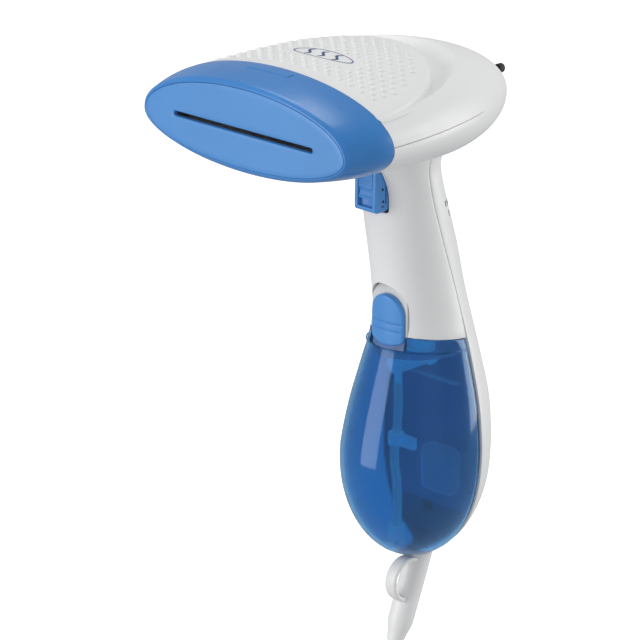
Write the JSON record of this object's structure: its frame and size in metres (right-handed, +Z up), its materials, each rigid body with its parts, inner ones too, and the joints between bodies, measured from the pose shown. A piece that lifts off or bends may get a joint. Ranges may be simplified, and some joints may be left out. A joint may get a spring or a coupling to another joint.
{
  "type": "handheld garment steamer",
  "caption": "Handheld garment steamer: wide oval steam nozzle, domed head, trigger handle with clear water tank, mains lead with plug.",
  "frame": {"origin": "middle of the hand grip, on the handle's axis", "axes": "+Z up towards the steam head, -Y the way the steam leaves, +X to the right seen from behind the handle"},
  "size_m": [0.149, 0.1629, 0.5856],
  "materials": {
    "shell_white": "satin",
    "nozzle_blue": "satin",
    "button_blue": "satin",
    "tank_blue": "clear tinted, glossy",
    "inner_plastic": "moulded",
    "dark_plastic": "moulded",
    "pale_blue": "clear tinted",
    "rubber_black": "matt",
    "seal_grey": "matt",
    "hose_clear": "smooth",
    "steel": "bright",
    "cast_aluminium": "as cast",
    "brass": "bright",
    "copper": "enamelled wire",
    "cord_white": "satin"
  },
  "bodies": {
    "steamer": {"nozzle_shell": "nozzle_blue", "face_plate": "nozzle_blue", "head_top_shell": "shell_white", "head_lower_shell": "shell_white", "rest_feet": "rubber_black", "handle_front_shell": "shell_white", "handle_back_shell": "shell_white", "spine_liner": "inner_plastic", "handle_floor": "inner_plastic", "latch_guide": "shell_white", "latch_spring": "steel", "latch_anchor": "inner_plastic", "trigger_pin": "steel", "trigger_spring": "steel", "trigger_bracket": "inner_plastic", "microswitch": "dark_plastic", "selector_switch": "dark_plastic", "pump_coil": "copper", "pump_tube": "inner_plastic", "boiler_body": "cast_aluminium", "boiler_lid": "cast_aluminium", "inlet_nipple": "brass", "heating_element": "steel", "steam_duct": "inner_plastic", "slot_seal": "seal_grey", "thermostat": "steel", "thermal_fuse": "inner_plastic", "boiler_screws": "steel", "inlet_socket": "inner_plastic", "suction_hose": "hose_clear", "delivery_hose": "hose_clear", "inner_leads": "cord_white", "shell_screws": "steel", "strain_relief": "cord_white", "hang_hook": "shell_white", "power_cord": "cord_white", "cord_hank": "cord_white", "cord_tie": "rubber_black", "cord_tail": "cord_white", "plug_body": "cord_white", "plug_blades": "brass"},
    "trigger": {"trigger": "button_blue"},
    "trigger_lock": {"trigger_lock": "button_blue"},
    "plunger": {"switch_plunger": "inner_plastic"},
    "latch": {"tank_latch": "button_blue"},
    "tank": {"water_tank": "tank_blue", "tank_lid": "tank_blue", "outlet_valve": "pale_blue", "valve_ring": "rubber_black", "pickup_hose": "hose_clear", "pickup_weight": "steel", "hose_clip": "pale_blue"},
    "fill_cap": {"fill_cap": "pale_blue"},
    "selector": {"heat_selector": "dark_plastic"},
    "piston": {"pump_piston": "steel"}
  },
  "joints": [
    {"name": "trigger_pull", "type": "hinge", "parent": "steamer", "child": "trigger", "pos_m": [0, -0.024, 0.05], "axis": [1, 0, 0], "range_deg": [0, 8], "stiffness_Nm_per_rad": 0.6, "springref_deg": -8.59},
    {"name": "trigger_lock_slide", "type": "slide", "parent": "trigger", "child": "trigger_lock", "axis": [0, 0, -1], "range_m": [0, 0.0036]},
    {"name": "switch_push", "type": "slide", "parent": "steamer", "child": "plunger", "axis": [0, 1, 0], "range_m": [0, 0.003]},
    {"name": "latch_lift", "type": "slide", "parent": "steamer", "child": "latch", "axis": [0, 0, 1], "range_m": [0, 0.0045], "stiffness_N_per_m": 400, "springref_m": -0.004, "deforming": ["latch_spring"]},
    {"name": "tank_release", "type": "slide", "parent": "steamer", "child": "tank", "axis": [0, -1, 0], "range_m": [0, 0.11]},
    {"name": "fill_cap_turn", "type": "hinge", "parent": "tank", "child": "fill_cap", "pos_m": [0.008, -0.002, -0.05], "axis": [0, 0, 1], "range_deg": [0, 90]},
    {"name": "selector_slide", "type": "slide", "parent": "steamer", "child": "selector", "axis": [0, -0.342, 0.9397], "range_m": [0, 0.005]},
    {"name": "pump_stroke", "type": "slide", "parent": "steamer", "child": "piston", "axis": [0, 0, 1], "range_m": [0, 0.0015], "stiffness_N_per_m": 300, "springref_m": -0.002}
  ],
  "couplings": [
    {"joint": "switch_push", "follows": "trigger_pull", "m_per_rad": 0.02148}
  ]
}
